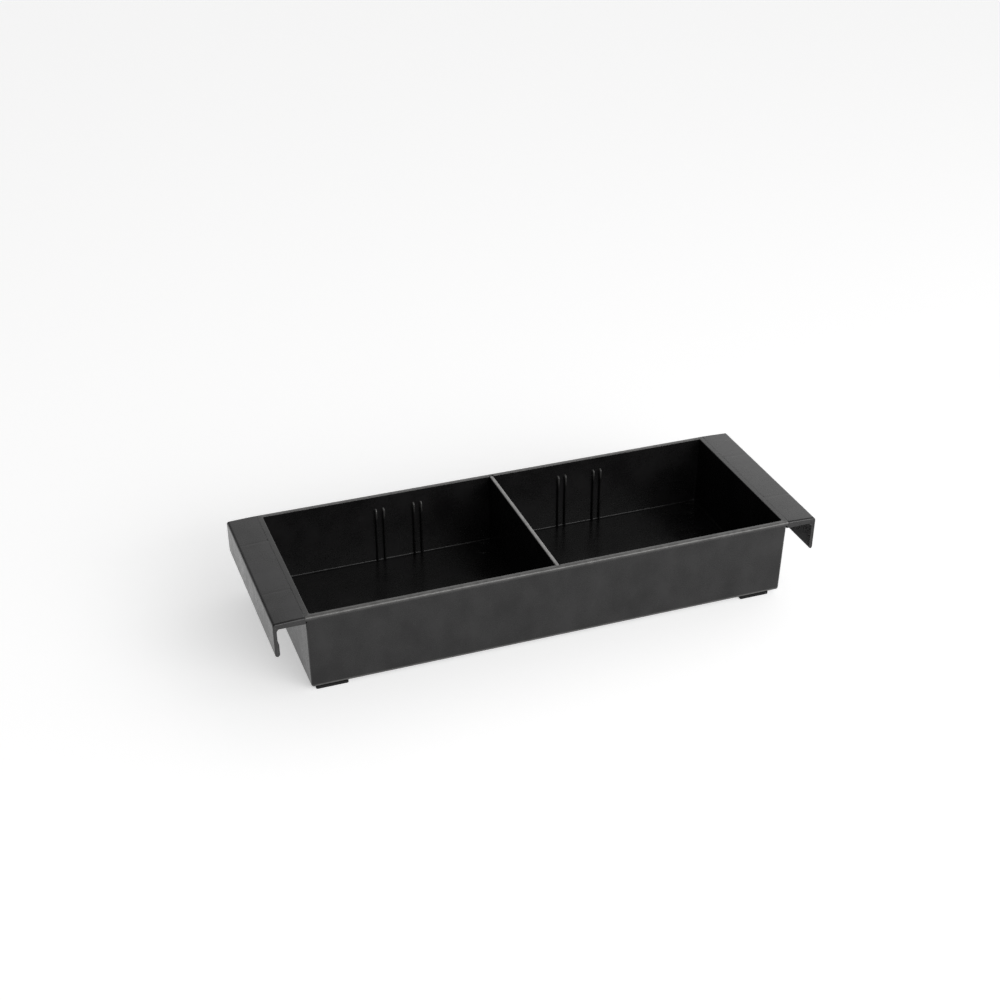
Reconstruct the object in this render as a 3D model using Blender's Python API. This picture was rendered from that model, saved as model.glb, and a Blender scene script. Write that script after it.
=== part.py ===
"""Hook-on drawer tray: a shallow two-compartment tub that hangs by a hook rail at each end.

Metres, +Z up. The origin is on the ground, midway between the ends and the long walls.
X runs along the tray's length, Y from the front wall to the back wall.
"""
import bpy
import bmesh
from math import cos, radians, sin
from mathutils import Matrix

# Driving dimensions
LENGTH = 0.351                # over both hook lips
DEPTH = 0.124                 # over the rim, front to back
HEIGHT = 0.053                # ground to rim
GAP = 0.0003                  # clearance between pieces that touch

# Tub
FOOT_HEIGHT = 0.002           # ground to the underside of the tub
RIM_WIDTH = 0.0034            # flat strip round the opening
RIM_HEIGHT = 0.0028           # depth of the bead that the strip ends in
RIM_LENGTH = 0.3128           # over the rim, along X
BEAD_PROUD_END = 0.0007       # how far the bead stands out from the end walls
BEAD_PROUD_LONG = 0.0008      # and from the long walls
WALL_DRAFT_END = 0.001        # how far the end walls lean in, from rim to underside
WALL_DRAFT_LONG = 0.0008
INSIDE_DRAFT_END = 0.0008     # the same for the inner faces, from rim to floor
INSIDE_DRAFT_LONG = 0.0002
FLOOR_THICKNESS = 0.0028
OUTER_CORNER_RADIUS = 0.0018
RIM_CORNER_RADIUS = 0.0004
FOOT_EDGE_RADIUS = 0.0011     # round the underside
INNER_CORNER_RADIUS = 0.0012
FLOOR_FILLET = 0.001

# Slot ribs for extra dividers: a pair at a third and at a half of each compartment
SLOT_PLACES = (1 / 3, 1 / 2)
RIB_SPACING = 0.0051          # between the two ribs of a pair
RIB_THICKNESS = 0.0012
RIB_PROUD = 0.002
RIB_TOP_BELOW_RIM = 0.0092
RIB_ROOT = 0.0006             # how far a rib is sunk in the wall and in the floor
RIB_TOP_RADIUS = 0.0005

# Centre divider, which lifts out of a groove in each long wall
DIVIDER_THICKNESS = 0.0026
DIVIDER_X = 0.001             # it stands just right of the middle
DIVIDER_TOP_BELOW_RIM = 0.0004
DIVIDER_EDGE_RADIUS = 0.0004
GROOVE_DEPTH = 0.0008
GROOVE_SINK = 0.0001          # the groove's foot is this far below the floor

# Hook rails
PLATE_THICKNESS = 0.005
PLATE_DROOP = 0.0006          # the top falls by this much towards the lip
LIP_HEIGHT = 0.0231           # rim to the tip of the lip
LIP_THICKNESS = 0.0023
LIP_DRAFT = 0.0003
CATCH_PROUD = 0.0007          # thicker lower half of the left lip
CATCH_TOP_BELOW_RIM = 0.0127
CATCH_RAMP = 0.0023
BEND_RADIUS = 0.0018
INNER_BEND_RADIUS = 0.0015

# Foot pads
PAD_SIZE = (0.0198, 0.012)
PAD_LEFT_INSET = 0.0028       # from the tub's end face to the pad
PAD_RIGHT_INSET = 0.0074
PAD_EDGE_INSET = 0.0004       # from the tub's long face to the pad
PAD_CORNER_RADIUS = 0.001

# Facets and tolerances
CORNER_STEPS = 3              # facets round a corner or along an edge
BEND_STEPS = 6                # facets round a rail's outer bend and its tip
INNER_BEND_STEPS = 4
SMOOTH_ANGLE = radians(35)    # faces that meet at less than this are shaded as one
SAME_PLACE = 1e-6             # points closer than this count as one

# Worked out from the above
RIM_X = RIM_LENGTH / 2
RIM_Y = DEPTH / 2
OPENING_X = RIM_X - RIM_WIDTH
OPENING_Y = RIM_Y - RIM_WIDTH
WALL_X = RIM_X - BEAD_PROUD_END
WALL_Y = RIM_Y - BEAD_PROUD_LONG
FLOOR_Z = FOOT_HEIGHT + FLOOR_THICKNESS
BEAD_Z = HEIGHT - RIM_HEIGHT


def clear_scene():
    """Remove whatever the scene holds."""
    for old in list(bpy.data.objects):
        bpy.data.objects.remove(old, do_unlink=True)


def new_collection(name):
    """Add a collection to the scene."""
    group = bpy.data.collections.new(name)
    bpy.context.scene.collection.children.link(group)
    return group


def plastic(name, colour, roughness):
    """A Principled material that is not metallic."""
    material = bpy.data.materials.new(name)
    material.use_nodes = True
    shader = material.node_tree.nodes["Principled BSDF"]
    shader.inputs["Base Color"].default_value = (*colour, 1.0)
    shader.inputs["Roughness"].default_value = roughness
    shader.inputs["Metallic"].default_value = 0.0
    return material


def object_from(bm, name, group):
    """Make an object of a bmesh and free the bmesh."""
    mesh = bpy.data.meshes.new(name)
    bm.to_mesh(mesh)
    bm.free()
    made = bpy.data.objects.new(name, mesh)
    group.objects.link(made)
    return made


def round_edges(bm, edges, radius):
    """Round the given edges of a bmesh."""
    bmesh.ops.bevel(bm, geom=edges, offset=radius, offset_type="OFFSET", segments=CORNER_STEPS,
                    profile=0.5, affect="EDGES")


def frustum(bottom, top, low, high):
    """A four-sided solid whose half sizes are bottom at height low and top at height high."""
    bm = bmesh.new()
    bmesh.ops.create_cube(bm, size=2.0)
    for vert in bm.verts:
        half = bottom if vert.co.z < 0 else top
        vert.co.x *= half[0]
        vert.co.y *= half[1]
        vert.co.z = low if vert.co.z < 0 else high
    return bm


def upright_edges(bm):
    """The edges of a frustum that join its bottom to its top."""
    return [e for e in bm.edges if abs(e.verts[0].co.z - e.verts[1].co.z) > SAME_PLACE]


def level_edges(bm, height):
    """The edges that lie at a height and border a face that doesn't."""
    return [e for e in bm.edges
            if all(abs(v.co.z - height) < SAME_PLACE for v in e.verts)
            and any(abs(f.normal.z) < 0.9 for f in e.link_faces)]


def add_box(bm, low, high):
    """Add a box between two corners to a bmesh and return its vertices."""
    size = [b - a for a, b in zip(low, high)]
    centre = [(a + b) / 2 for a, b in zip(low, high)]
    place = Matrix.Translation(centre) @ Matrix.Diagonal((*size, 1.0))
    return bmesh.ops.create_cube(bm, size=1.0, matrix=place)["verts"]


def make_tool(made):
    """Show a cutter or an added shape as wire and keep it out of renders."""
    made.hide_render = True
    made.display_type = "WIRE"
    return made


def combine(target, tool, operation):
    """Join a tool to a piece, or cut it away."""
    change = target.modifiers.new(operation.title() + " " + tool.name, "BOOLEAN")
    change.operation = operation
    change.solver = "EXACT"
    change.object = tool


def tub_shell(parts, tools):
    """The tub: leaning walls under a rim, hollowed to the floor."""
    bottom = (WALL_X - WALL_DRAFT_END, WALL_Y - WALL_DRAFT_LONG)
    bm = frustum(bottom, (WALL_X, WALL_Y), FOOT_HEIGHT, HEIGHT - RIM_HEIGHT / 2)
    round_edges(bm, upright_edges(bm), OUTER_CORNER_RADIUS)
    bm.normal_update()
    round_edges(bm, level_edges(bm, FOOT_HEIGHT), FOOT_EDGE_RADIUS)
    tub = object_from(bm, "tray_tub", parts)

    bm = frustum((RIM_X, RIM_Y), (RIM_X, RIM_Y), BEAD_Z, HEIGHT)
    round_edges(bm, upright_edges(bm), RIM_CORNER_RADIUS)
    rim = make_tool(object_from(bm, "rim_block", tools))

    over = (HEIGHT + RIM_HEIGHT - FLOOR_Z) / (HEIGHT - FLOOR_Z)
    floor = (OPENING_X - INSIDE_DRAFT_END, OPENING_Y - INSIDE_DRAFT_LONG)
    mouth = (floor[0] + INSIDE_DRAFT_END * over, floor[1] + INSIDE_DRAFT_LONG * over)
    bm = frustum(floor, mouth, FLOOR_Z, HEIGHT + RIM_HEIGHT)
    round_edges(bm, upright_edges(bm), INNER_CORNER_RADIUS)
    bm.normal_update()
    round_edges(bm, level_edges(bm, FLOOR_Z), FLOOR_FILLET)
    hollow = make_tool(object_from(bm, "hollow", tools))

    combine(tub, rim, "UNION")
    combine(tub, hollow, "DIFFERENCE")
    return tub


def slot_centres():
    """Where the rib pairs stand along X."""
    return [side * OPENING_X * place for side in (-1, 1) for place in SLOT_PLACES]


def slot_ribs(tub, tools):
    """Pairs of slim ribs with round tops on the front and back walls."""
    bm = bmesh.new()
    root = OPENING_Y + RIB_ROOT
    nose = OPENING_Y - RIB_PROUD
    for centre in slot_centres():
        for x in (centre - RIB_SPACING / 2, centre + RIB_SPACING / 2):
            for side in (-1, 1):
                near, far = sorted((side * nose, side * root))
                add_box(bm, (x - RIB_THICKNESS / 2, near, FLOOR_Z - RIB_ROOT),
                        (x + RIB_THICKNESS / 2, far, HEIGHT - RIB_TOP_BELOW_RIM))
    tops = [e for e in bm.edges
            if all(abs(v.co.z - HEIGHT + RIB_TOP_BELOW_RIM) < SAME_PLACE for v in e.verts)
            and abs(e.verts[0].co.x - e.verts[1].co.x) < SAME_PLACE]
    round_edges(bm, tops, RIB_TOP_RADIUS)
    combine(tub, make_tool(object_from(bm, "slot_ribs", tools)), "UNION")


def divider_grooves(tub, tools):
    """A groove in the front and back walls that holds the divider's ends."""
    half = DIVIDER_THICKNESS / 2 + GAP
    bm = bmesh.new()
    for side in (-1, 1):
        near, far = sorted((side * (OPENING_Y - 2 * FLOOR_FILLET), side * (OPENING_Y + GROOVE_DEPTH)))
        add_box(bm, (DIVIDER_X - half, near, FLOOR_Z - GROOVE_SINK),
                (DIVIDER_X + half, far, HEIGHT + RIM_HEIGHT))
    combine(tub, make_tool(object_from(bm, "divider_grooves", tools)), "DIFFERENCE")


def centre_divider(parts):
    """A plain plate with its top edges rounded, whose origin is at the middle of its foot."""
    half_length = OPENING_Y + GROOVE_DEPTH - GAP
    height = HEIGHT - DIVIDER_TOP_BELOW_RIM - FLOOR_Z - GAP
    half = (DIVIDER_THICKNESS / 2, half_length)
    bm = frustum(half, half, 0.0, height)
    round_edges(bm, level_edges(bm, height), DIVIDER_EDGE_RADIUS)
    divider = object_from(bm, "centre_divider", parts)
    divider.location = (DIVIDER_X, 0.0, FLOOR_Z + GAP)
    return divider


def arc(centre, radius, start, end, steps):
    """Points on an arc from one angle to another, in degrees."""
    angles = [radians(start + (end - start) * step / steps) for step in range(steps + 1)]
    return [(centre[0] + radius * cos(a), centre[1] + radius * sin(a)) for a in angles]


def rail_outline(with_catch):
    """The right rail seen from the front: plate, outer bend, lip, inner bend.

    The plate's inner edge is stepped, so that it reaches in under the tub's bead.
    """
    outer = LENGTH / 2
    under = HEIGHT - PLATE_THICKNESS
    tip = HEIGHT - LIP_HEIGHT
    inner = outer - LIP_THICKNESS
    catch = CATCH_PROUD if with_catch else 0.0
    tip_radius = (LIP_THICKNESS + catch) / 2
    tip_centre = (outer - LIP_DRAFT - tip_radius, tip + tip_radius)
    bend_centre = (outer - BEND_RADIUS, HEIGHT - PLATE_DROOP - BEND_RADIUS)
    inner_bend = (inner - INNER_BEND_RADIUS, under - INNER_BEND_RADIUS)

    points = [(WALL_X + GAP, under), (WALL_X + GAP, BEAD_Z - GAP),
              (RIM_X + GAP, BEAD_Z - GAP), (RIM_X + GAP, HEIGHT)]
    points += arc(bend_centre, BEND_RADIUS, 90, 0, BEND_STEPS)
    points += arc(tip_centre, tip_radius, 0, -180, BEND_STEPS)
    if with_catch:
        step = HEIGHT - CATCH_TOP_BELOW_RIM
        lean = LIP_DRAFT * CATCH_TOP_BELOW_RIM / LIP_HEIGHT
        points += [(inner - lean - catch, step - CATCH_RAMP), (inner - lean, step)]
    points += arc(inner_bend, INNER_BEND_RADIUS, 0, 90, INNER_BEND_STEPS)
    return points


def mesh_from_curve(curve_object, group):
    """Turn a filled curve into a welded mesh object and remove the curve."""
    bpy.context.view_layer.update()
    seen = curve_object.evaluated_get(bpy.context.evaluated_depsgraph_get())
    bm = bmesh.new()
    bm.from_mesh(bpy.data.meshes.new_from_object(seen))
    bmesh.ops.remove_doubles(bm, verts=bm.verts, dist=SAME_PLACE)
    bm.transform(curve_object.matrix_world)
    bmesh.ops.recalc_face_normals(bm, faces=bm.faces)
    name = curve_object.name
    bpy.data.objects.remove(curve_object)
    return object_from(bm, name, group)


def hook_rail(name, side, with_catch, parts, tools):
    """One end's rail, on side -1 or 1: the outline drawn flat and run the tray's full depth."""
    curve = bpy.data.curves.new(name + "_outline", "CURVE")
    curve.dimensions = "2D"
    curve.fill_mode = "BOTH"
    curve.extrude = RIM_Y
    outline = rail_outline(with_catch)
    spline = curve.splines.new("POLY")
    spline.points.add(len(outline) - 1)
    for point, (x, z) in zip(spline.points, outline):
        point.co = (side * x, z, 0.0, 1.0)
    spline.use_cyclic_u = True
    drawn = bpy.data.objects.new(name, curve)
    drawn.matrix_world = Matrix.Rotation(radians(90), 4, "X")
    parts.objects.link(drawn)
    rail = mesh_from_curve(drawn, parts)

    bm = bmesh.new()
    for end in (-1, 1):
        near, far = sorted((end * WALL_Y, end * (RIM_Y + RIM_WIDTH)))
        inner, outer = sorted((side * (WALL_X - RIM_WIDTH), side * (LENGTH / 2 + RIM_WIDTH)))
        add_box(bm, (inner, near, 0.0), (outer, far, BEAD_Z))
    combine(rail, make_tool(object_from(bm, name + "_ends", tools)), "DIFFERENCE")
    return rail


def foot_pad(name, x, y, parts):
    """A flat pad with rounded corners under a corner of the tub."""
    half = (PAD_SIZE[0] / 2, PAD_SIZE[1] / 2)
    bm = frustum(half, half, 0.0, FOOT_HEIGHT - GAP)
    round_edges(bm, upright_edges(bm), PAD_CORNER_RADIUS)
    pad = object_from(bm, name, parts)
    pad.location = (x, y, 0.0)
    return pad


def foot_pads(parts):
    """Four pads, a little further in at the right end than at the left."""
    end = WALL_X - WALL_DRAFT_END - PAD_SIZE[0] / 2
    edge = WALL_Y - WALL_DRAFT_LONG - PAD_EDGE_INSET - PAD_SIZE[1] / 2
    columns = {"left": PAD_LEFT_INSET - end, "right": end - PAD_RIGHT_INSET}
    rows = {"front": -edge, "back": edge}
    return [foot_pad("foot_pad_" + row + "_" + column, x, y, parts)
            for row, y in rows.items() for column, x in columns.items()]


def paint(pieces, material):
    """Give pieces a material and smooth their rounded faces."""
    for piece in pieces:
        piece.data.materials.clear()
        piece.data.materials.append(material)
        piece.data.shade_smooth()
        piece.data.set_sharp_from_angle(angle=SMOOTH_ANGLE)


def main():
    clear_scene()
    parts = new_collection("hook_on_drawer_tray")
    tools = new_collection("cutters")

    tub = tub_shell(parts, tools)
    slot_ribs(tub, tools)
    divider_grooves(tub, tools)
    divider = centre_divider(parts)
    rails = [hook_rail("hook_rail_left", -1, True, parts, tools),
             hook_rail("hook_rail_right", 1, False, parts, tools)]

    paint([tub], plastic("tub_plastic", (0.014, 0.014, 0.015), 0.38))
    paint([divider], plastic("divider_plastic", (0.014, 0.014, 0.015), 0.36))
    paint(rails, plastic("rail_plastic", (0.016, 0.016, 0.017), 0.42))
    paint(foot_pads(parts), plastic("foot_rubber", (0.008, 0.008, 0.008), 0.8))


main()
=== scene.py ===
"""Finished look of a hook-on drawer tray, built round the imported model.

Metres, +Z up, X along the tray, Y from the front wall to the back wall. Every piece is a numpy
surface: rings of points whose form is worked out from a few sizes, joined by quads.
"""
from math import radians

import bpy
import numpy as np
from bpy.props import FloatProperty, FloatVectorProperty, PointerProperty
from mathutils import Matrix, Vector


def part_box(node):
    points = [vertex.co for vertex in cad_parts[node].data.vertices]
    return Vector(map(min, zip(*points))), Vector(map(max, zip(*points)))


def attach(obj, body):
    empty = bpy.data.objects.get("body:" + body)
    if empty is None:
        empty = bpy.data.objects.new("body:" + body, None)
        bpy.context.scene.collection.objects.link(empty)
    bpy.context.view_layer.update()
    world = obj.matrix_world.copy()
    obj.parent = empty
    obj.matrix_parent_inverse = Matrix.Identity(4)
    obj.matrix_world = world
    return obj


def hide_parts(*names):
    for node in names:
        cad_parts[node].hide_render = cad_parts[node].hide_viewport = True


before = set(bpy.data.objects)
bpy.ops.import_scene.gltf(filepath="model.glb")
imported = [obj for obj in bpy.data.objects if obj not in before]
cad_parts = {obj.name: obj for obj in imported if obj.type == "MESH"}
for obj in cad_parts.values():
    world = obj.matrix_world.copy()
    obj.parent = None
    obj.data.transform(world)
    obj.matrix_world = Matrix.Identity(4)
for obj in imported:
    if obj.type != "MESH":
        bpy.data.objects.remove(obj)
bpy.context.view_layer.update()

bl_info = {
    "name": "Hook-on Drawer Tray",
    "version": (1, 0, 0),
    "blender": (4, 5, 0),
    "location": "View3D > Sidebar > Drawer Tray",
    "description": "Builds the moulded tray, its divider, hook rails and foot pads, and a studio",
    "category": "Object",
}

MM = 0.001
TUB_LOW, TUB_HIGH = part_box("tray_tub")
DIVIDER_LOW, DIVIDER_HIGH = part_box("centre_divider")
RAIL_LOW, RAIL_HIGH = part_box("hook_rail_right")
PAD_NAMES = [corner + "_" + end for corner in ("front", "back") for end in ("left", "right")]


# ---------------------------------------------------------------- settings

def length(name, default, description):
    """A size setting in metres, given in millimetres."""
    return FloatProperty(name=name, description=description, default=default * MM,
                         min=0.0, subtype="DISTANCE", unit="LENGTH", precision=5)


def colour(name, default, description):
    """A colour setting."""
    return FloatVectorProperty(name=name, description=description, default=default,
                               size=3, min=0.0, max=1.0, subtype="COLOR")


def factor(name, default, description, top=1.0):
    """A plain number setting."""
    return FloatProperty(name=name, description=description, default=default,
                         min=0.0, max=top, subtype="FACTOR" if top == 1.0 else "NONE")


def angle(name, default, description):
    """An angle setting, given in degrees."""
    return FloatProperty(name=name, description=description, default=radians(default),
                         subtype="ANGLE", unit="ROTATION")


class DrawerTrayTub(bpy.types.PropertyGroup):
    """Sizes of the tub."""

    rim_width: length("Rim width", 3.4, "Flat strip round the opening")
    rim_height: length("Rim height", 2.8, "Depth of the bead the strip ends in")
    rim_round: length("Rim outer edge", 1.3, "Radius of the strip's outer edge on the long sides")
    rim_inner_round: length("Rim inner edge", 0.45, "Radius of the strip's inner edge")
    bead_end: length("Bead, ends", 0.7, "How far the bead stands out from the end walls")
    bead_long: length("Bead, long sides", 0.8, "How far it stands out from the long walls")
    draft_end: length("Draft, ends", 1.0, "How far the end walls lean in at the underside")
    draft_long: length("Draft, long sides", 0.8, "The same for the long walls")
    inside_draft_end: length("Inside draft, ends", 0.8, "Lean of the inner end faces")
    inside_draft_long: length("Inside draft, long", 0.2, "Lean of the inner long faces")
    floor: length("Floor thickness", 2.8, "Underside to floor")
    rim_corner: length("Rim corner", 0.4, "Radius of the rim's four corners seen from above")
    # Paleness of the rim strip: a painted sheen, strongest where it faces up, with some rubbing.
    strip_sheen_and_rubbing: factor("Rim polish", 0.58, "How much the strip is rubbed all over")
    # Share of the painted edge highlight, with its wear, that the end strips keep.
    end_sheen_and_wear: factor("Wear at the ends", 0.16, "Rubbing of the end strips beside the long ones")
    outer_corner: length("Outer corner", 1.8, "Radius of the upright outer corners")
    inner_corner: length("Inner corner", 1.2, "Radius of the upright inner corners")
    foot_round: length("Bottom edge", 1.5, "Radius of the edge round the underside")
    fillet: length("Floor fillet", 1.0, "Radius where the walls meet the floor")
    groove_depth: length("Groove depth", 0.8, "How far the divider's ends are let in")
    groove_gap: length("Groove clearance", 0.08, "Air at each side of the divider")


class DrawerTrayRibs(bpy.types.PropertyGroup):
    """Sizes of the slot ribs and of the round marks on the floor."""

    spacing: length("Spacing", 5.1, "Between the two ribs of a pair")
    thickness: length("Thickness", 1.2, "Width of one rib")
    proud: length("Proud", 2.0, "How far a rib stands out from the wall")
    below_rim: length("Top below rim", 9.2, "Rim to the top of a rib")
    root: length("Root", 0.6, "How far a rib is sunk in the wall and in the floor")
    mark_radius: length("Mark radius", 6.5, "Radius of a round mark on the floor")
    mark_inset: length("Mark inset", 8.9, "From the walls to a mark's centre")
    mark_width: length("Mark width", 0.7, "Width of a mark's ridge")
    mark_height: length("Mark height", 0.16, "Height of a mark's ridge")


class DrawerTrayRail(bpy.types.PropertyGroup):
    """Sizes of the hook rails."""

    plate: length("Plate", 5.0, "Thickness of the flat plate")
    droop: length("Droop", 0.6, "How far the top falls towards the lip")
    seam: length("Seam", 0.02, "Hair line between the rail and the tub")
    step: length("Step", 0.02, "How far the plate lies below the rim strip")
    reach_in: length("Reach-in", 0.68, "How far the plate's underside runs in under the tub's rim")
    bead: length("Bead", 2.8, "Depth of the bead along the plate's ends")
    set_back: length("Set-back", 0.8, "How far the plate's ends step in under the bead")
    lip: length("Lip", 2.3, "Thickness of the lip")
    lip_draft: length("Lip draft", 0.3, "How far the lip leans in at its tip")
    catch: length("Catch", 0.7, "Extra thickness of the left lip's lower half")
    catch_below: length("Catch below rim", 12.7, "Rim to the start of the catch")
    catch_ramp: length("Catch ramp", 2.3, "Height over which the catch grows")
    bend: length("Outer bend", 1.8, "Outer radius between plate and lip")
    inner_bend: length("Inner bend", 1.5, "Inner radius between plate and lip")
    edge: length("Edge", 0.35, "Radius along the lip and under the plate")
    bead_edge: length("Bead edge", 1.3, "Radius along the top of the plate's ends")
    sink_place: length("Sink lines", 29.0, "From the middle to each faint line across the plate")
    sink_depth: length("Sink depth", 0.035, "Depth of those lines")
    sink_width: length("Sink width", 0.9, "Half width of those lines")


class DrawerTrayDivider(bpy.types.PropertyGroup):
    """Sizes of the divider."""

    crest: length("Crest", 0.7, "Radius along the top")
    foot: length("Foot", 1.6, "Radius of the lower corners")
    edge: length("Edge", 0.3, "Radius along the upright edges")
    fill: length("Fill", 0.25, "How much of the clearance above the floor it takes up")


class DrawerTrayPads(bpy.types.PropertyGroup):
    """Sizes of the foot pads."""

    corner: length("Corner", 1.0, "Radius of the four corners")
    edge: length("Edge", 0.3, "Radius round the sole")
    fill: length("Fill", 0.25, "How much of the clearance under the tub a pad takes up")


class DrawerTrayFinish(bpy.types.PropertyGroup):
    """Colours and surface of the materials."""

    plastic: colour("Plastic", (0.0068, 0.0065, 0.0067), "Black moulded plastic")
    # Painted highlight: this pale colour stands in for the light that rounded edges and the rim strip
    # catch, with some wear.
    pale_sheen_and_wear: colour("Worn plastic", (0.2, 0.197, 0.192), "Plastic rubbed pale along an edge")
    # Painted highlight: the divider's crest is coloured pale to stand in for the light it catches.
    crest: colour("Divider crest", (0.34, 0.333, 0.326), "Scuffed top of the divider")
    rubber: colour("Rubber", (0.008, 0.008, 0.008), "Black rubber of the foot pads")
    gloss: factor("Roughness", 0.22, "Roughness of the plastic where it is smoothest")
    shine: factor("Shine", 0.41, "Strength of the plastic's mirror reflection")
    grain: factor("Grain", 0.13, "Strength of the moulded grain")


class DrawerTrayStage(bpy.types.PropertyGroup):
    """Camera, lights and floor."""

    floor: colour("Floor", (0.93, 0.93, 0.93), "Pale floor")
    floor_size: length("Floor size", 30000.0, "Side of the square floor")
    azimuth: angle("Azimuth", -20.17, "Camera's turn round the tray from straight ahead")
    elevation: angle("Elevation", 29.91, "Camera's height above the horizon")
    distance: length("Distance", 1061.9, "Camera to the point it aims at")
    aim: FloatVectorProperty(name="Aim", description="Point at the middle of the view",
                             default=(-0.0063, 0.0225, 0.0556), size=3, subtype="XYZ",
                             unit="LENGTH")
    lens: FloatProperty(name="Lens", description="Focal length in millimetres",
                        default=59.69, min=1.0)
    sky: factor("Sky", 1.08, "Brightness of the walls of the room", 10.0)
    zenith: factor("Zenith", 0.3, "Brightness of the ceiling", 10.0)
    dim_side: factor("Left side", 0.15, "Share of the brightness at the left", 10.0)
    lit_side: factor("Right side", 1.17, "Share of the brightness at the right", 10.0)
    key: factor("Front panel", 3.6, "Radiance of the front light panel", 20.0)
    key_width: length("Panel width", 1500.0, "Width of the panel")
    key_height: length("Panel height", 750.0, "Height of the panel")
    key_azimuth: angle("Panel azimuth", 22.0, "Where the panel stands, from straight ahead")
    key_elevation: angle("Panel elevation", 22.0, "How high it stands above the horizon")
    key_distance: length("Panel distance", 1600.0, "How far it stands from the tray")
    glow: factor("Floor glow", 0.47, "Light that the floor gives of its own", 5.0)


class DrawerTraySettings(bpy.types.PropertyGroup):
    """All the settings of the tray."""

    tub: PointerProperty(type=DrawerTrayTub)
    ribs: PointerProperty(type=DrawerTrayRibs)
    rail: PointerProperty(type=DrawerTrayRail)
    divider: PointerProperty(type=DrawerTrayDivider)
    pads: PointerProperty(type=DrawerTrayPads)
    finish: PointerProperty(type=DrawerTrayFinish)
    stage: PointerProperty(type=DrawerTrayStage)


# ---------------------------------------------------------------- surfaces

def quads(rows, columns):
    """Faces of a grid of rows rings with columns points each, closed round each ring."""
    row, column = np.meshgrid(np.arange(rows - 1), np.arange(columns), indexing="ij")
    after = (column + 1) % columns
    return np.stack([row * columns + column, row * columns + after,
                     (row + 1) * columns + after, (row + 1) * columns + column], -1).reshape(-1, 4)


def fan(first, columns, pole, outward):
    """Triangles from the ring that starts at index first to one pole."""
    column = np.arange(columns)
    after = (column + 1) % columns
    ends = (first + column, first + after) if outward else (first + after, first + column)
    return np.stack([*ends, np.full(columns, pole)], -1)


def ladder(first, columns, outward):
    """Quads across a ring whose second half mirrors its first half, point for point."""
    rung = np.arange(columns // 2 - 1)
    left, right = first + rung, first + columns - 1 - rung
    faces = np.stack([left, left + 1, right - 1, right], -1)
    return faces if outward else faces[:, ::-1]


def signed_volume(points, faces):
    """Six times the volume inside triangles or quads, positive if they face outwards."""
    corners = points[faces]
    total = 0.0
    for last in range(2, faces.shape[1]):
        total += np.einsum("ij,ij->", corners[:, 0],
                           np.cross(corners[:, last - 1], corners[:, last]))
    return total


def mesh_piece(name, points, face_sets, sheen_and_wear=None):
    """Make a mesh object from points and arrays of triangles or quads, facing outwards."""
    if sum(signed_volume(points, faces) for faces in face_sets) < 0:
        face_sets = [faces[:, ::-1] for faces in face_sets]
    mesh = bpy.data.meshes.new(name)
    mesh.from_pydata(points.tolist(), [], [face for faces in face_sets for face in faces.tolist()])
    # One value per point: a mask of painted highlight with some wear, read by the plastic.
    attribute = mesh.attributes.new("edge_sheen_and_wear", "FLOAT", "POINT")
    attribute.data.foreach_set("value", np.zeros(len(points)) if sheen_and_wear is None else sheen_and_wear)
    mesh.shade_smooth()
    mesh.validate()
    piece = bpy.data.objects.new(name, mesh)
    bpy.context.scene.collection.objects.link(piece)
    even = piece.modifiers.new("Even shading", "WEIGHTED_NORMAL")
    even.weight = 60
    return piece


def closed_loft(name, rings, sheen_and_wear, caps="poles"):
    """Join an array of rings, shape (rings, points, 3), and close both ends.

    Poles close an end with a fan to its middle; ladders close it with rungs straight across.
    """
    count, columns = rings.shape[:2]
    points = rings.reshape(-1, 3)
    weights = np.repeat(sheen_and_wear, columns) if sheen_and_wear.ndim == 1 else sheen_and_wear.ravel()
    sets = [quads(count, columns)]
    if caps == "poles":
        poles = np.stack([rings[0].mean(0), rings[-1].mean(0)])
        total = len(points)
        points = np.concatenate([points, poles])
        weights = np.concatenate([weights, np.zeros(2)])
        sets += [fan(0, columns, total, False),
                 fan((count - 1) * columns, columns, total + 1, True)]
    else:
        sets += [ladder(0, columns, False), ladder((count - 1) * columns, columns, True)]
    return mesh_piece(name, points, sets, weights)


def arc(start, end, steps):
    """Cosine and sine at even steps of angle, in degrees."""
    turn = np.radians(np.linspace(start, end, steps + 1))
    return np.cos(turn), np.sin(turn)


def copies(points, faces, offsets):
    """Repeat one closed surface at each offset: every point plus every shift."""
    shifted = (points[None] + offsets[:, None]).reshape(-1, 3)
    indexed = [(each[None] + np.arange(len(offsets))[:, None, None] * len(points))
               .reshape(-1, each.shape[1]) for each in faces]
    return shifted, indexed


# ---------------------------------------------------------------- tub

def groove_plan(tub):
    """The divider's groove seen from above, from left to right: place along X and depth.

    The two mouths are quarter circles, and the depth is zero outside them.
    """
    centre = (DIVIDER_LOW.x + DIVIDER_HIGH.x) / 2
    half = (DIVIDER_HIGH.x - DIVIDER_LOW.x) / 2 + tub.groove_gap
    mouth = 0.15 * MM
    across, along = arc(90, 0, 3)
    x = np.concatenate([-half - mouth + mouth * across, [-half]])
    depth = np.concatenate([mouth - mouth * along, [tub.groove_depth]])
    return centre + np.concatenate([x, -x[::-1]]), np.concatenate([depth, depth[::-1]])


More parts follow.
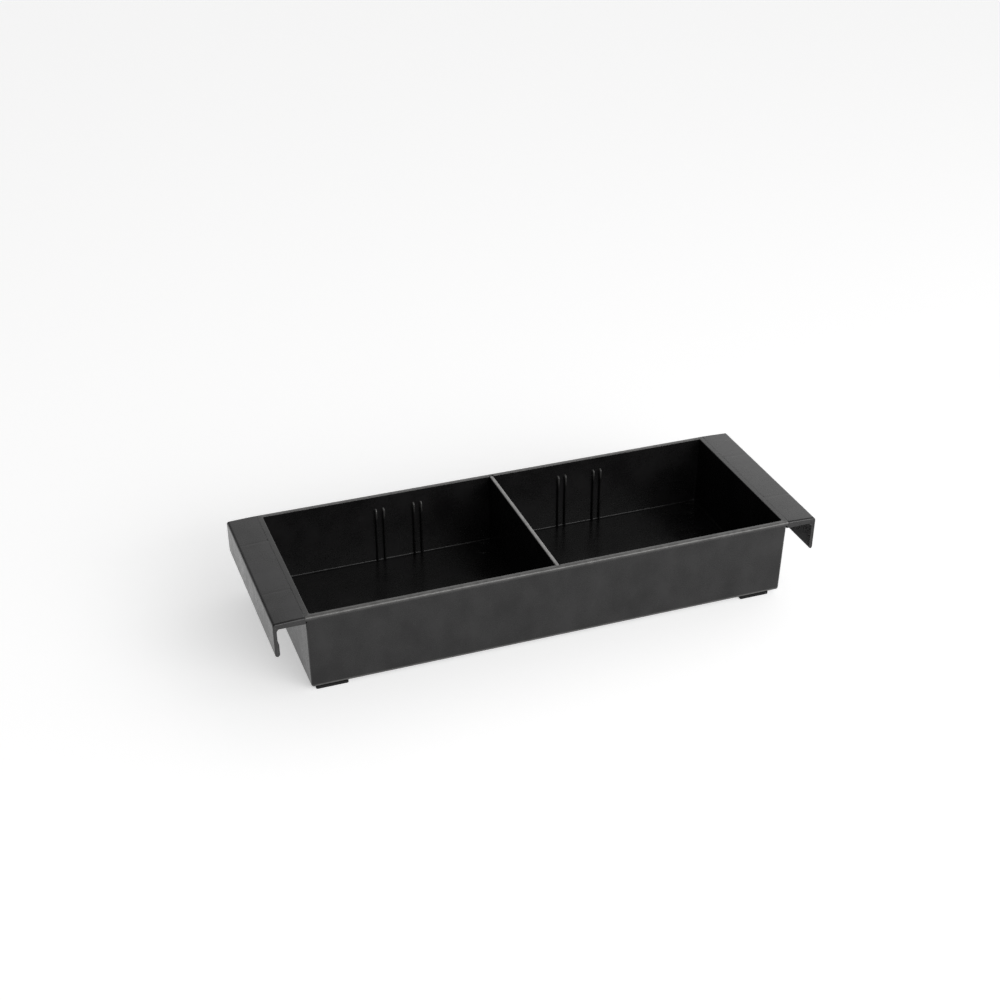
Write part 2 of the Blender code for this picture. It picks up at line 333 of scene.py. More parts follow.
def tub_stations(tub):
    """The wall's section, from the middle of the underside over the rim to the middle of the floor.

    Each row holds inset from the rim's face at the ends and at the long sides, height, corner
    radius, share of the groove's depth, and sheen and wear, a mask of painted highlight with some
    wear. Every edge is a quarter circle, and the runs between them are straight. The painted
    highlight follows the sine and cosine round each edge.
    """
    low, high, width = TUB_LOW.z, TUB_HIGH.z, tub.rim_width
    bead = high - tub.rim_height
    floor = low + tub.floor
    bead_tuck, bead_soft, end_soft = 0.2 * MM, 0.22 * MM, 0.12 * MM
    underside, inside = np.array([40, 12, 3]) * MM, np.array([3.2, 12, 36]) * MM
    highlight_fade, strip_middle = 0.6 * MM, 1.5 * MM
    rows = []

    def add(end, long, z, corner, groove=0.0, sheen_and_wear=0.0):
        """Add one row for each value, with single values repeated."""
        end, long, z, corner, sheen_and_wear = np.broadcast_arrays(end, long, z, corner, sheen_and_wear)
        rows.append(np.stack([end, long, z, corner, np.full(np.shape(z), groove), sheen_and_wear], -1)
                    .reshape(-1, 6))

    foot_end, foot_long = tub.bead_end + tub.draft_end, tub.bead_long + tub.draft_long
    add(foot_end + underside, foot_long + underside, low, tub.inner_corner)
    # Paleness on the bottom edge's round is a painted highlight; the next row brings it back to none just
    # above.
    across, up = arc(-90, 0, 6)
    turn = tub.foot_round
    add(foot_end + turn - turn * across, foot_long + turn - turn * across,
        low + turn + turn * up, tub.outer_corner - turn + turn * across,
        sheen_and_wear=np.clip(across * 1.6 - 1.2, 0, 1))
    add(foot_end, foot_long, low + turn + highlight_fade, tub.outer_corner)
    share = np.linspace(0.2, 1.0, 5)
    top = bead - bead_tuck
    add(foot_end + (tub.bead_end - foot_end) * share, foot_long + (tub.bead_long - foot_long) * share,
        low + turn + (top - low - turn) * share, tub.outer_corner)
    across, up = arc(180, 90, 3)
    add(tub.bead_end - bead_tuck - bead_tuck * across, tub.bead_long - bead_tuck - bead_tuck * across,
        top + bead_tuck * up, tub.outer_corner * 0.8)
    across, up = arc(-90, 0, 3)
    add(bead_soft - bead_soft * across, bead_soft - bead_soft * across,
        bead + bead_soft + bead_soft * up, tub.rim_corner)
    # Outer round of the rim: its paleness peaks half way round, a painted highlight, with the strip's
    # painted sheen and rubbing on the upward-facing part.
    across, up = arc(0, 90, 8)
    turn = tub.rim_round
    add(end_soft - end_soft * across, turn - turn * across, high - turn + turn * up,
        tub.rim_corner + end_soft * (1 - across),
        sheen_and_wear=np.maximum(across * np.maximum(up * 1.7, 0.25), tub.strip_sheen_and_rubbing * up))
    # Flat middle of the strip: evenly pale, a painted sheen with some rubbing.
    middle = width - strip_middle
    add(middle, middle, high, tub.rim_corner * 1.5, sheen_and_wear=tub.strip_sheen_and_rubbing)
    # Inner round of the rim: pale half way round, a painted highlight.
    across, up = arc(90, 180, 6)
    turn = tub.rim_inner_round
    add(width - turn - turn * across, width - turn - turn * across, high - turn + turn * up,
        tub.inner_corner + turn + turn * across, groove=1.0,
        sheen_and_wear=np.maximum(-across * up * 1.3, tub.strip_sheen_and_rubbing * up))
    share = np.linspace(0.15, 1.0, 5)
    bottom = floor + tub.fillet
    add(width + tub.inside_draft_end * share, width + tub.inside_draft_long * share,
        high - turn + (bottom - high + turn) * share, tub.inner_corner, groove=1.0)
    across, up = arc(180, 270, 7)
    turn = tub.fillet
    add(width + tub.inside_draft_end + turn + turn * across,
        width + tub.inside_draft_long + turn + turn * across,
        bottom + turn * up, tub.inner_corner - turn - turn * across, groove=1.0)
    add(width + inside, width + inside, floor, tub.inner_corner / 2)
    return np.concatenate(rows)


def tub_rings(tub):
    """Carry the wall's section round a rounded rectangle.

    Each ring has four quarter circles joined by straight runs, and the long runs step out by
    the groove's depth where the divider stands.
    """
    end, long, height, corner, groove, sheen_and_wear = tub_stations(tub).T[:, :, None]
    half_x, half_y = TUB_HIGH.x - end, TUB_HIGH.y - long
    run_x, run_y = half_x - corner, half_y - corner
    groove_x, groove_d = (each[None] for each in groove_plan(tub))
    even_x = np.linspace(groove_x[0, 0], groove_x[0, -1], groove_x.shape[1])[None]
    groove_x = even_x + (groove_x - even_x) * groove
    steps = 6
    share = np.arange(steps)[None] / steps
    front_x = np.concatenate([-run_x + (groove_x[:, :1] + run_x) * share, groove_x,
                              groove_x[:, -1:] + (run_x - groove_x[:, -1:]) * (share + 1 / steps)], 1)
    step_out = np.concatenate([share * 0, groove_d, share * 0], 1)
    front_y = -(half_y + step_out * groove)
    side = np.linspace(-1.0, 1.0, 8)[None, 1:-1]
    runs = ((front_x, front_y), (half_x + side * 0, run_y * side),
            (front_x[:, ::-1], -front_y[:, ::-1]), (-half_x + side * 0, -run_y * side))
    xs, ys = [], []
    for (along_x, along_y), start, sign_x, sign_y in zip(runs, (-90, 0, 90, 180), (1, 1, -1, -1),
                                                         (-1, 1, 1, -1)):
        across, up = (each[None, 1:-1] for each in arc(start, start + 90, 9))
        xs += [along_x, sign_x * run_x + corner * across]
        ys += [along_y, sign_y * run_y + corner * up]
    x, y = np.concatenate(xs, 1), np.concatenate(ys, 1)
    rings = np.stack([x, y, np.broadcast_to(height, x.shape)], -1)
    at_side = np.clip((np.abs(y) - run_y) / corner, 0, 1)
    # The end strips keep only a share of the painted highlight and wear.
    return rings, sheen_and_wear * (tub.end_sheen_and_wear + (1 - tub.end_sheen_and_wear) * at_side)


# ---------------------------------------------------------------- ribs and floor marks

def rib_surface(ribs, tub):
    """One slot rib at the back wall's middle.

    The plan is a nose, a half circle on straight sides that flare into the wall, and it runs
    up from under the floor. Near the top the nose draws back along a quarter circle and the
    rib narrows with it.
    """
    half = ribs.thickness / 2
    wall = TUB_HIGH.y - tub.rim_width
    flare, foot, clear = 0.35 * MM, 1 * MM, 8 * MM
    drawn_share, narrowest = 0.62, 0.55
    turn_x, turn_y = arc(0, 90, 6)
    side_x = np.concatenate([half + flare * np.array([1.0, 0.5, 0.12, 0.0]), half * turn_x])
    side_y = np.concatenate([[ribs.root], -flare * np.array([0.08, 0.4, 1.0]),
                             -ribs.proud + half - half * turn_y])
    plan_x = np.concatenate([side_x, -side_x[::-1][1:]])
    plan_y = np.concatenate([side_y, side_y[::-1][1:]])

    floor = TUB_LOW.z + tub.floor
    top = TUB_HIGH.z - ribs.below_rim
    draw = ribs.proud * drawn_share
    climb, shrink = arc(0, 90, 6)
    straight = np.concatenate([[floor - ribs.root, floor + foot],
                               np.linspace(floor + clear, top - clear, 3)])
    heights = np.concatenate([straight, top - draw + draw * shrink])
    reach = np.concatenate([np.ones(len(straight)), climb])
    depth = np.where(plan_y < 0, plan_y[None] * reach[:, None], plan_y[None])
    narrow = narrowest + (1 - narrowest) * reach[:, None]
    rings = np.stack([plan_x[None] * narrow, wall + depth,
                      np.broadcast_to(heights[:, None], depth.shape)], -1)
    # Pale rib tops: a painted highlight on their rounded ends.
    sheen_and_wear = np.concatenate([np.zeros(len(straight)), 0.35 + 0.3 * shrink])
    return rings, sheen_and_wear


def slot_ribs(ribs, tub):
    """Sixteen slot ribs as one piece: on each long wall, a pair at a third and a pair at a half
    of the way from the divider to each end, and every rib mirrored front to back.
    """
    rings, sheen_and_wear = rib_surface(ribs, tub)
    count, columns = rings.shape[:2]
    points = np.concatenate([rings.reshape(-1, 3), [rings[0].mean(0)], [rings[-1].mean(0)]])
    weights = np.concatenate([np.repeat(sheen_and_wear, columns), [0.0, 1.0]])
    faces = [quads(count, columns), np.concatenate([
        fan(0, columns, len(points) - 2, False),
        fan((count - 1) * columns, columns, len(points) - 1, True)])]
    opening = TUB_HIGH.x - tub.rim_width
    places = np.array([side * opening * share + near * ribs.spacing / 2
                       for side in (-1, 1) for share in (1 / 3, 1 / 2) for near in (-1, 1)])
    offsets = np.stack([places, places * 0, places * 0], -1)
    back, back_faces = copies(points, faces, offsets)
    front = back * np.array([1.0, -1.0, 1.0])
    sets = [np.concatenate([kind, kind[:, ::-1] + len(back)]) for kind in back_faces]
    return mesh_piece("slot_ribs", np.concatenate([back, front]), sets,
                      np.tile(weights, 2 * len(places)))


def floor_marks(ribs, tub):
    """Faint round ridges that ejector pins leave, one near each corner of each compartment.

    Each is a ring whose section is a low half wave sunk a little in the floor.
    """
    turn = np.linspace(0, 2 * np.pi, 72, endpoint=False)
    wave = np.linspace(-1.0, 1.0, 7)
    sunk = 0.3 * MM
    out = np.concatenate([wave, [0.8, -0.8]]) * ribs.mark_width / 2
    rise = np.concatenate([np.cos(wave * np.pi / 2) * ribs.mark_height, [-sunk, -sunk]])
    radius = ribs.mark_radius + out[:, None]
    around = radius * np.cos(turn), radius * np.sin(turn)
    rings = np.stack([*around, np.broadcast_to(rise[:, None], around[0].shape)], -1)
    points = rings.reshape(-1, 3) + np.array([0, 0, TUB_LOW.z + tub.floor])
    body = quads(len(out), len(turn))
    first = np.arange(len(turn))
    after = (first + 1) % len(turn)
    last = (len(out) - 1) * len(turn)
    close = np.stack([last + first, last + after, after, first], -1)
    outer_x = TUB_HIGH.x - tub.rim_width - ribs.mark_inset
    outer_y = TUB_HIGH.y - tub.rim_width - ribs.mark_inset
    inner = [DIVIDER_LOW.x - ribs.mark_inset, DIVIDER_HIGH.x + ribs.mark_inset]
    offsets = np.array([(x, y, 0.0) for x in (-outer_x, *inner, outer_x)
                        for y in (-outer_y, outer_y)])
    marks, faces = copies(points, [np.concatenate([body, close])], offsets)
    return mesh_piece("pin_marks", marks, faces)


# ---------------------------------------------------------------- divider and pads

def divider_plate(divider):
    """An upright plate, carried through its thickness along X.

    Its outline in Y and Z has a quarter circle at each corner, and each face ends in another
    quarter circle that draws the outline in. A painted highlight, the pale crest colour, ramps up
    just below the crest, and the foot comes down to a hair line above the floor.
    """
    low, high = DIVIDER_LOW - Vector((0.0, 0.0, divider.fill)), DIVIDER_HIGH
    edge, top_round, foot_round = divider.edge, divider.crest, divider.foot
    crest_highlight_from, crest_highlight_over = 0.45 * MM, 0.35 * MM
    below_crest = np.array([6, 1.4]) * MM
    centre, half = (low + high) / 2, (high - low) / 2
    cos, sin = arc(0, 90, 6)
    out = half.x - top_round * (1 - cos)
    out = np.concatenate([-out, out[::-1]])[:, None]
    turned = np.concatenate([sin, sin[::-1]])[:, None]
    inset, inset_top = edge * (1 - turned), top_round * (1 - turned)

    foot_cos, foot_sin = (each[None] for each in arc(-90, 0, 6))
    top_cos, top_sin = (each[None] for each in arc(0, 90, 4))
    levels = np.concatenate([[centre.z], high.z - below_crest])[None]
    y = np.concatenate([half.y - inset - foot_round + foot_round * foot_cos,
                        half.y - inset + 0 * levels,
                        half.y - inset - edge + edge * top_cos], 1)
    z = np.concatenate([low.z + inset + foot_round + foot_round * foot_sin,
                        levels + 0 * inset,
                        high.z - inset_top - edge + edge * top_sin], 1)
    y = np.concatenate([y, -y[:, ::-1]], 1) + centre.y
    z = np.concatenate([z, z[:, ::-1]], 1)
    # Painted highlight ramping up just below the crest.
    sheen_and_wear = np.clip((z - high.z + crest_highlight_from) / crest_highlight_over, 0, 1)
    rings = np.stack([centre.x + out + 0 * y, y, z], -1)
    return closed_loft("divider_plate", rings, sheen_and_wear, caps="ladders")


def foot_pad(name, pads, low, high):
    """A flat pad: a rounded rectangle carried upwards, with a quarter circle round its sole.

    Its top comes up to a hair line below the tub.
    """
    centre, half = (low + high) / 2, (high - low) / 2
    edge, least_corner = pads.edge, 0.2 * MM
    top = high.z + pads.fill
    cos, sin = arc(-90, 0, 5)
    inset = np.concatenate([[half.y / 2], edge - edge * cos, [0.0, 0.0, half.y / 2]])[:, None]
    height = np.concatenate([[low.z], low.z + edge + edge * sin, [high.z, top, top]])[:, None]
    radius = np.maximum(pads.corner - inset, least_corner)
    quarter = np.linspace(-90, 0, 6)
    turn = np.radians(quarter + np.array([[0], [90], [180], [270]])).ravel()
    sign_x = np.repeat([1, 1, -1, -1], len(quarter))
    sign_y = np.repeat([-1, 1, 1, -1], len(quarter))
    x = centre.x + sign_x * (half.x - inset - radius) + radius * np.cos(turn)
    y = centre.y + sign_y * (half.y - inset - radius) + radius * np.sin(turn)
    rings = np.stack([x, y, height + 0 * x], -1)
    return closed_loft(name, rings, np.zeros(len(rings)))


# ---------------------------------------------------------------- hook rails

def rail_path(rail, catch):
    """The right rail's centre sheet: matching points on its outer and inner skin in X and Z.

    The plate runs out from the tub, turns down round a quarter circle on each skin, runs down
    the lip and closes round a half circle at the tip, stopping short of its lowest point. The
    catch grows in a straight ramp. Also returns how far each pair has left the plate, from 0 on
    it to 1 past the bend.
    """
    top, outer, tip = TUB_HIGH.z - rail.step, RAIL_HIGH.x, RAIL_LOW.z
    under = TUB_HIGH.z - rail.plate
    inner = outer - rail.lip
    root = TUB_HIGH.x + rail.seam
    fall = rail.droop - rail.step
    bend_x = outer - rail.bend
    plate = np.concatenate([[0.0, 0.02, 0.1], np.linspace(0.25, 1.0, 6)])
    bend_steps, tip_end = 10, -84
    turn_cos, turn_sin = arc(90, 0, bend_steps)
    outer_x = [root + (bend_x - root) * plate, (bend_x + rail.bend * turn_cos)[1:]]
    outer_z = [top - fall * plate ** 1.5, (top - fall - rail.bend + rail.bend * turn_sin)[1:]]
    inner_bend_x = inner - rail.inner_bend
    root_in = root - rail.reach_in
    inner_x = [root_in + (inner_bend_x - root_in) * plate,
               (inner_bend_x + rail.inner_bend * turn_cos)[1:]]
    inner_z = [under + 0 * plate, (under - rail.inner_bend + rail.inner_bend * turn_sin)[1:]]
    turned = [0 * plate, np.arange(1, bend_steps + 1) / bend_steps]

    radius = (rail.lip + catch) / 2
    foot = tip + radius
    start_out, start_in = outer_z[1][-1], inner_z[1][-1]
    catch_top = TUB_HIGH.z - rail.catch_below
    level = np.concatenate([np.linspace(start_in, catch_top, 4)[1:],
                            catch_top - rail.catch_ramp * np.array([0.5, 1.0]),
                            np.linspace(catch_top - rail.catch_ramp, foot, 4)[1:]])
    grow = np.clip((catch_top - level) / rail.catch_ramp, 0, 1) * catch
    drop = (start_in - level) / (start_in - foot)
    outer_x.append(outer - rail.lip_draft * drop)
    outer_z.append(start_out + (foot - start_out) * drop)
    inner_x.append(inner - rail.lip_draft * drop - grow)
    inner_z.append(level)
    turned.append(np.ones(len(level)))

    turn_cos, turn_sin = (each[1:] for each in arc(0, tip_end, 8))
    centre = outer - rail.lip_draft - radius
    outer_x.append(centre + radius * turn_cos)
    inner_x.append(centre - radius * turn_cos)
    for z in (outer_z, inner_z):
        z.append(foot + radius * turn_sin)
    turned.append(np.ones(len(turn_cos)))
    joined = [np.concatenate(each) for each in (outer_x, outer_z, inner_x, inner_z, turned)]
    return np.stack(joined[:2], -1), np.stack(joined[2:4], -1), joined[4]


def rail_rings(rail, side, catch):
    """Carry a loop in Y and thickness along the rail's path.

    The loop runs along the outer skin, turns over a rounded end, steps in under the bead and
    comes back along the inner skin, and on the lip the step in is gone. Points are matched
    front to back, so rungs can close it. The faint sink lines are bell curves. Each radius is
    held to a share of the thickness, so that the loop stays whole on the thin lip.
    """
    skin_out, skin_in, turned = rail_path(rail, catch)
    thick = np.linalg.norm(skin_in - skin_out, axis=1)[:, None]
    turned = turned[:, None]
    reach = np.full_like(thick, TUB_HIGH.y)
    top_edge = np.minimum(rail.bead_edge + (rail.edge - rail.bead_edge) * turned, thick * 0.48)
    low_edge = np.minimum(rail.edge, thick * 0.3)

    over_cos, over_sin = (each[None] for each in arc(90, 0, 7))
    end_y = reach - top_edge + top_edge * over_cos
    end_d = top_edge - top_edge * over_sin
    bead = np.minimum(rail.bead, thick * 0.55)
    soft = np.minimum(0.2 * MM, thick * 0.04)
    lower = reach - np.maximum(rail.set_back * (1 - np.clip(turned * 1.6, 0, 1)), soft)
    ledge_y = np.concatenate([reach, reach - soft, lower, lower], 1)
    ledge_d = np.concatenate([bead - soft, bead, bead, bead + soft], 1)
    back_cos, back_sin = (each[None] for each in arc(0, -90, 4))
    foot_y = lower - low_edge + low_edge * back_cos
    foot_d = thick - low_edge - low_edge * back_sin

    near, far = np.array([4, 14, 24]) * MM, np.array([38, 48, 57]) * MM
    sink = rail.sink_place + rail.sink_width * np.linspace(-2.5, 2.5, 11)
    top_y = np.concatenate([near, sink, far])[None]
    hollow = np.exp(-((top_y - rail.sink_place) / rail.sink_width) ** 2) * rail.sink_depth
    under_y = np.array([[56, 40, 24, 8]]) * MM
    whole = np.ones_like(thick)
    back_y = np.concatenate([top_y * whole, end_y, ledge_y, foot_y, under_y * whole], 1)
    back_d = np.concatenate([hollow * (1 - turned), end_d, ledge_d, foot_d,
                             thick * np.ones_like(under_y)], 1)
    y = np.concatenate([back_y[:, ::-1] * -1, back_y], 1)
    depth = np.concatenate([back_d[:, ::-1], back_d], 1) / thick

    across = skin_in - skin_out
    x = skin_out[:, :1] + across[:, :1] * depth
    z = skin_out[:, 1:] + across[:, 1:] * depth
    return np.stack([side * x, y, z], -1)


def hook_rail(name, rail, side, catch):
    """One hook rail, closed by rungs at its root and at its tip."""
    rings = rail_rings(rail, side, catch)
    rings = np.roll(rings, -(rings.shape[1] // 2), 1)
    return closed_loft(name, rings, np.zeros(len(rings)), caps="ladders")


# ---------------------------------------------------------------- materials

# Noise, in cells per metre.
GRAIN_CELLS = 2600.0
RUBBED_CELLS = 900.0
CLOUD_CELLS = 420.0
PATCH_CELLS = 260.0
FLOW_CELLS = 45.0
RUBBER_CELLS = 1400.0
DUST_CELLS = 160.0

# Shares of a base colour.
PALER, DEEPER, DUSTY = 1.32, 0.8, 2.2

# Changes of roughness over the plastic.
SLOW_GLOSS = 0.09
QUICK_GLOSS = (-0.025, 0.03)
RUBBED_GLOSS = 0.05
WORN_GLOSS = 0.07

# Growth of the shine with the lift of a colour.
LIFT_SHINE = 0.14

# Depth of the moulded grain.
GRAIN_DEPTH = 0.06 * MM
RUBBER_DEPTH = 0.12 * MM


class Nodes:
    """Short ways to add shader nodes to one material or world."""

    def __init__(self, tree):
        self.tree = tree

    def add(self, kind, **values):
        """A node of a kind, with its settings and socket defaults."""
        node = self.tree.nodes.new("ShaderNode" + kind)
        for key, value in values.items():
            if key in node.inputs:
                node.inputs[key].default_value = value
            else:
                setattr(node, key, value)
        return node

    def link(self, source, node, socket):
        """Join an output socket to a named input."""
        self.tree.links.new(source, node.inputs[socket])

    def noise(self, place, scale, detail, stretch=(1, 1, 1)):
        """Noise over the object's own coordinates, in cells per metre."""
        mapping = self.add("Mapping", Scale=stretch)
        self.link(place, mapping, "Vector")
        noise = self.add("TexNoise", Scale=scale, Detail=detail)
        self.link(mapping.outputs["Vector"], noise, "Vector")
        return noise.outputs["Fac"]

    def spread(self, source, low, high, start=0.3, end=0.7):
        """Turn a value between start and end into one between low and high."""
        node = self.add("MapRange", **{"From Min": start, "From Max": end, "To Min": low, "To Max": high})
        self.link(source, node, "Value")
        return node.outputs["Result"]

    def maths(self, operation, first, second):
        """Two values combined; the second may be a number."""
        node = self.add("Math", operation=operation)
        self.tree.links.new(first, node.inputs[0])
        if isinstance(second, float):
            node.inputs[1].default_value = second
        else:
            self.tree.links.new(second, node.inputs[1])
        return node.outputs["Value"]

    def mix(self, share, first, second):
        """Two colours mixed by a value; either may be a plain colour."""
        node = self.add("Mix", data_type="RGBA")
        self.tree.links.new(share, node.inputs[0])
        for index, source in ((6, first), (7, second)):
            if isinstance(source, tuple):
                node.inputs[index].default_value = (*source, 1.0)
            else:
                self.tree.links.new(source, node.inputs[index])
        return node.outputs[2]


def moulded_plastic(name, finish, pale_sheen_and_wear, sheen_and_wear_share, rough=0.0, lift=1.0):
    """Black moulded plastic: fine grain, slow changes of gloss and light rubbing marks.

    Where the mesh's mask of sheen and wear is high, the plastic is paler and smoother: a painted
    highlight along rounded edges and the rim strip, with some wear. Rough is added to the
    roughness, and lift multiplies the colour and raises the shine with it.
    """
    material = bpy.data.materials.new(name)
    material.use_nodes = True
    make = Nodes(material.node_tree)
    shader = material.node_tree.nodes["Principled BSDF"]
    place = make.add("TexCoord").outputs["Object"]
    grain = make.noise(place, GRAIN_CELLS, 2.0)
    flow = make.noise(place, FLOW_CELLS, 3.0, (1.4, 1.4, 1.0))
    cloud = make.noise(place, CLOUD_CELLS, 3.0)
    rubbed = make.noise(place, RUBBED_CELLS, 4.0, (0.12, 1.0, 1.0))
    edge = make.add("Attribute", attribute_name="edge_sheen_and_wear").outputs["Fac"]
    patchy = make.spread(make.noise(place, PATCH_CELLS, 5.0), 0.68, 1.0, 0.35, 0.62)
    sheen_and_wear = make.maths("MULTIPLY", make.maths("MULTIPLY", edge, patchy), sheen_and_wear_share)

    base = tuple(channel * lift for channel in finish.plastic)
    pale = tuple(channel * PALER for channel in base)
    deep = tuple(channel * DEEPER for channel in base)
    body = make.mix(make.spread(flow, 0.0, 1.0), deep, pale)
    # Painted highlight: the mask mixes in the pale colour along rounded edges and the rim strip, with
    # some wear.
    make.link(make.mix(sheen_and_wear, body, tuple(pale_sheen_and_wear)), shader, "Base Color")

    gloss = finish.gloss + rough
    slow = make.spread(flow, gloss, gloss + SLOW_GLOSS)
    quick = make.maths("ADD", slow, make.spread(cloud, *QUICK_GLOSS))
    marked = make.maths("ADD", quick, make.spread(rubbed, 0.0, RUBBED_GLOSS, 0.5, 0.75))
    smooth = make.maths("MULTIPLY", edge, WORN_GLOSS)
    make.link(make.maths("SUBTRACT", marked, smooth), shader, "Roughness")
    shine = finish.shine * (1 + LIFT_SHINE * (lift - 1))
    make.link(make.spread(flow, shine * 0.9, shine * 1.1), shader, "Specular IOR Level")

    relief = make.maths("ADD", make.maths("MULTIPLY", grain, 0.6), make.maths("MULTIPLY", cloud, 0.55))
    bump = make.add("Bump", Strength=finish.grain, Distance=GRAIN_DEPTH)
    make.link(relief, bump, "Height")
    make.link(bump.outputs["Normal"], shader, "Normal")
    return material


def foot_rubber(finish):
    """Dull black rubber with a coarse open grain and dust in its hollows."""
    material = bpy.data.materials.new("moulded_rubber")
    material.use_nodes = True
    make = Nodes(material.node_tree)
    shader = material.node_tree.nodes["Principled BSDF"]
    place = make.add("TexCoord").outputs["Object"]
    cells = make.noise(place, RUBBER_CELLS, 4.0)
    dust = make.spread(make.noise(place, DUST_CELLS, 5.0), 0.0, 0.5, 0.5, 0.75)
    dark = tuple(finish.rubber)
    dusty = tuple(channel * DUSTY for channel in dark)
    make.link(make.mix(dust, dark, dusty), shader, "Base Color")
    make.link(make.spread(cells, 0.68, 0.88), shader, "Roughness")
    shader.inputs["Specular IOR Level"].default_value = 0.2
    bump = make.add("Bump", Strength=0.5, Distance=RUBBER_DEPTH)
    make.link(cells, bump, "Height")
    make.link(bump.outputs["Normal"], shader, "Normal")
    return material


def plastic_for(slot, finish):
    """The plastic of one slot, made once."""
    name = "moulded_" + slot
    if name in bpy.data.materials:
        return bpy.data.materials[name]
    if slot == "divider_plastic":
        # The crest's pale colour is a painted highlight.
        return moulded_plastic(name, finish, finish.crest, sheen_and_wear_share=1.0)
    if slot == "rail_plastic":
        return moulded_plastic(name, finish, finish.pale_sheen_and_wear, sheen_and_wear_share=0.45, rough=0.01, lift=2.0)
    return moulded_plastic(name, finish, finish.pale_sheen_and_wear, sheen_and_wear_share=1.0)


def dress(piece, material, body, nodes):
    """Give a piece its material, its body and the CAD nodes it stands for."""
    piece.data.materials.append(material)
    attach(piece, body)
    if nodes:
        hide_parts(*nodes)


# ---------------------------------------------------------------- operators

class DRAWERTRAY_OT_tub(bpy.types.Operator):
    """Build the tub with its rim, its walls, its floor and the divider's grooves"""

    bl_idname = "drawer_tray.tub"
    bl_label = "Tub"

    def execute(self, context):
        settings = context.scene.drawer_tray
        rings, sheen_and_wear = tub_rings(settings.tub)
        tub = closed_loft("tub_body", rings, sheen_and_wear)
        dress(tub, plastic_for("tub_plastic", settings.finish), "tray", ["tray_tub"])
        return {"FINISHED"}


class DRAWERTRAY_OT_ribs(bpy.types.Operator):
    """Build the slot ribs on both long walls and the round marks on the floor"""

    bl_idname = "drawer_tray.ribs"
    bl_label = "Slot ribs and floor marks"

    def execute(self, context):
        settings = context.scene.drawer_tray
        for piece in (slot_ribs(settings.ribs, settings.tub), floor_marks(settings.ribs, settings.tub)):
            dress(piece, plastic_for("tub_plastic", settings.finish), "tray", [])
        return {"FINISHED"}


class DRAWERTRAY_OT_divider(bpy.types.Operator):
    """Build the lift-out divider with its pale crest, a painted highlight"""

    bl_idname = "drawer_tray.divider"
    bl_label = "Centre divider"

    def execute(self, context):
        settings = context.scene.drawer_tray
        dress(divider_plate(settings.divider), plastic_for("divider_plastic", settings.finish),
              "divider", ["centre_divider"])
        return {"FINISHED"}


class DRAWERTRAY_OT_rails(bpy.types.Operator):
    """Build the two hook rails, the left one with a catch inside its lip"""

    bl_idname = "drawer_tray.rails"
    bl_label = "Hook rails"

    def execute(self, context):
        settings = context.scene.drawer_tray
        for end, side, catch in (("left", -1, settings.rail.catch), ("right", 1, 0.0)):
            rail = hook_rail(end + "_hook_rail", settings.rail, side, catch)
            dress(rail, plastic_for("rail_plastic", settings.finish), "tray",
                  ["hook_rail_" + end])
        return {"FINISHED"}


class DRAWERTRAY_OT_pads(bpy.types.Operator):
    """Build the four rubber foot pads"""

    bl_idname = "drawer_tray.pads"
    bl_label = "Foot pads"

    def execute(self, context):
        settings = context.scene.drawer_tray
        rubber = foot_rubber(settings.finish)
        for place in PAD_NAMES:
            pad = foot_pad("pad_" + place, settings.pads, *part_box("foot_pad_" + place))
            dress(pad, rubber, "tray", ["foot_pad_" + place])
        return {"FINISHED"}


def studio_floor(stage):
    """A wide pale floor that glows a little, like a lit sweep."""
    bpy.ops.mesh.primitive_plane_add(size=stage.floor_size, location=(0.0, 0.0, 0.0))
    floor = bpy.context.object
    floor.name = "studio_floor"
    material = bpy.data.materials.new("studio_floor")
    material.use_nodes = True
    shader = material.node_tree.nodes["Principled BSDF"]
    shader.inputs["Base Color"].default_value = (*stage.floor, 1.0)
    shader.inputs["Roughness"].default_value = 0.9
    shader.inputs["Specular IOR Level"].default_value = 0.1
    shader.inputs["Emission Color"].default_value = (1.0, 1.0, 1.0, 1.0)
    shader.inputs["Emission Strength"].default_value = stage.glow
    floor.data.materials.append(material)


def studio_world(stage):
    """Pale walls all round: the brightness falls in a straight ramp with height, from the sky's
    to the zenith's, and is multiplied by another ramp from left to right.
    """
    world = bpy.data.worlds.new("studio")
    bpy.context.scene.world = world
    world.use_nodes = True
    make = Nodes(world.node_tree)
    direction = make.add("TexCoord").outputs["Generated"]
    split = make.add("SeparateXYZ")
    make.link(direction, split, "Vector")
    level = make.spread(split.outputs["Z"], stage.sky, stage.zenith, 0.5, 0.85)
    lean = make.spread(split.outputs["X"], stage.dim_side, stage.lit_side, -0.5, 0.45)
    background = world.node_tree.nodes["Background"]
    make.link(make.maths("MULTIPLY", level, lean), background, "Strength")
    background.inputs["Color"].default_value = (1.0, 1.0, 1.0, 1.0)


def light_panel(name, stage):
    """A soft panel of even radiance in front of the tray, turned to face it."""
    lamp = bpy.data.lights.new(name, "AREA")
    lamp.shape = "RECTANGLE"
    lamp.size, lamp.size_y = stage.key_width, stage.key_height
    lamp.energy = stage.key * np.pi * lamp.size * lamp.size_y
    panel = bpy.data.objects.new(name, lamp)
    bpy.context.scene.collection.objects.link(panel)
    back = from_above(stage.key_azimuth, stage.key_elevation)
    panel.location = back * stage.key_distance
    panel.rotation_euler = back.to_track_quat("Z", "Y").to_euler()


def from_above(azimuth, elevation):
    """Unit vector from the tray towards an azimuth, 0 in front of it, and an elevation."""
    level = np.cos(elevation)
    return Vector((np.sin(azimuth) * level, -np.cos(azimuth) * level, np.sin(elevation)))


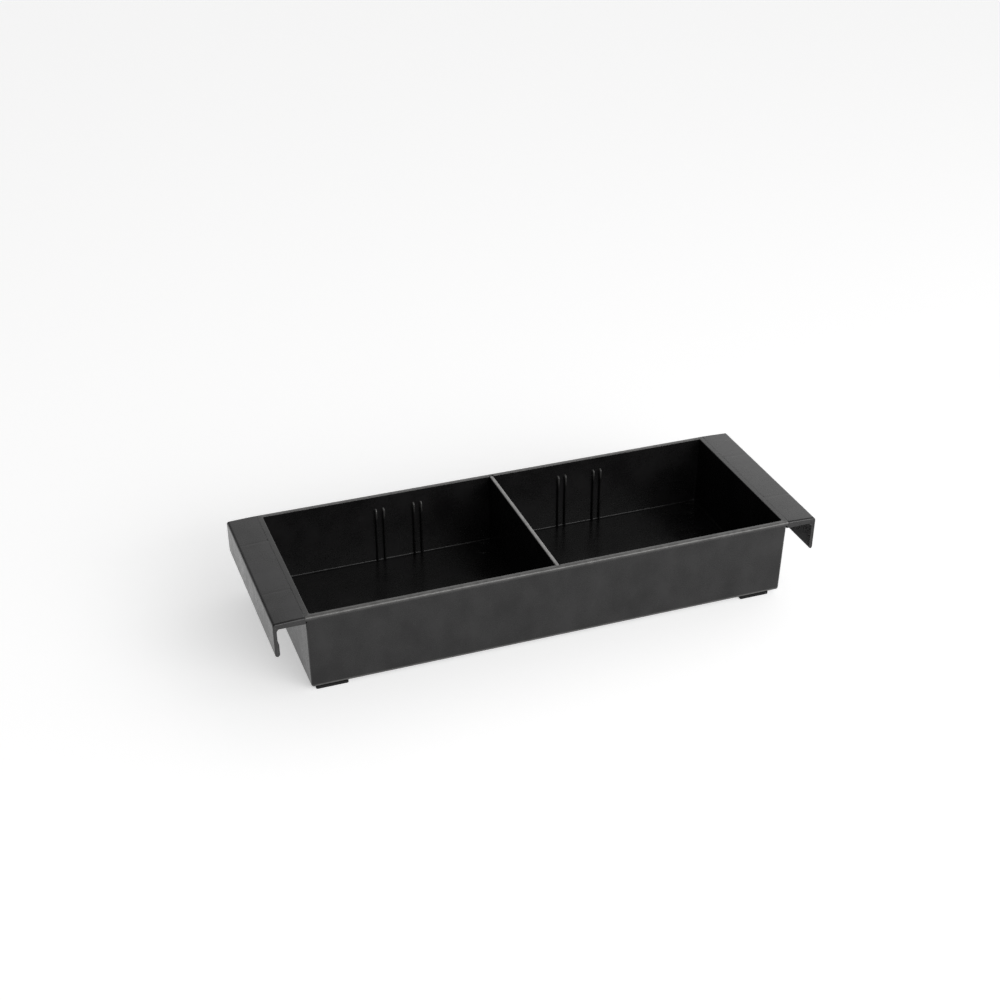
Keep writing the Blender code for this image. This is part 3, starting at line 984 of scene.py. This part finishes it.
class DRAWERTRAY_OT_stage(bpy.types.Operator):
    """Set up the floor, the lights and the camera"""

    bl_idname = "drawer_tray.stage"
    bl_label = "Studio"

    def execute(self, context):
        stage = context.scene.drawer_tray.stage
        studio_floor(stage)
        studio_world(stage)
        light_panel("front_panel", stage)
        lens = bpy.data.cameras.new("camera")
        lens.lens = stage.lens
        lens.sensor_width = 36.0
        camera = bpy.data.objects.new("camera", lens)
        context.scene.collection.objects.link(camera)
        back = from_above(stage.azimuth, stage.elevation)
        camera.location = Vector(stage.aim) + back * stage.distance
        camera.rotation_euler = back.to_track_quat("Z", "Y").to_euler()
        context.scene.camera = camera
        context.scene.view_settings.view_transform = "Standard"
        context.scene.view_settings.look = "None"
        return {"FINISHED"}


class DRAWERTRAY_PT_sidebar(bpy.types.Panel):
    """Lists the pieces of the tray"""

    bl_idname = "DRAWERTRAY_PT_sidebar"
    bl_label = "Drawer Tray"
    bl_space_type = "VIEW_3D"
    bl_region_type = "UI"
    bl_category = "Drawer Tray"

    def draw(self, context):
        for operator in OPERATORS:
            self.layout.operator(operator.bl_idname)


GROUPS = (DrawerTrayTub, DrawerTrayRibs, DrawerTrayRail, DrawerTrayDivider, DrawerTrayPads,
          DrawerTrayFinish, DrawerTrayStage, DrawerTraySettings)
OPERATORS = (DRAWERTRAY_OT_tub, DRAWERTRAY_OT_ribs, DRAWERTRAY_OT_divider, DRAWERTRAY_OT_rails,
             DRAWERTRAY_OT_pads, DRAWERTRAY_OT_stage)
CLASSES = (*GROUPS, *OPERATORS, DRAWERTRAY_PT_sidebar)


def register():
    """Register the classes and hang the settings on the scene."""
    for each in CLASSES:
        bpy.utils.register_class(each)
    bpy.types.Scene.drawer_tray = PointerProperty(type=DrawerTraySettings)


def unregister():
    """Undo register."""
    del bpy.types.Scene.drawer_tray
    for each in reversed(CLASSES):
        bpy.utils.unregister_class(each)


def main():
    """Build everything in order."""
    register()
    bpy.ops.drawer_tray.tub()
    bpy.ops.drawer_tray.ribs()
    bpy.ops.drawer_tray.divider()
    bpy.ops.drawer_tray.rails()
    bpy.ops.drawer_tray.pads()
    bpy.ops.drawer_tray.stage()


if __name__ == "__main__":
    main()
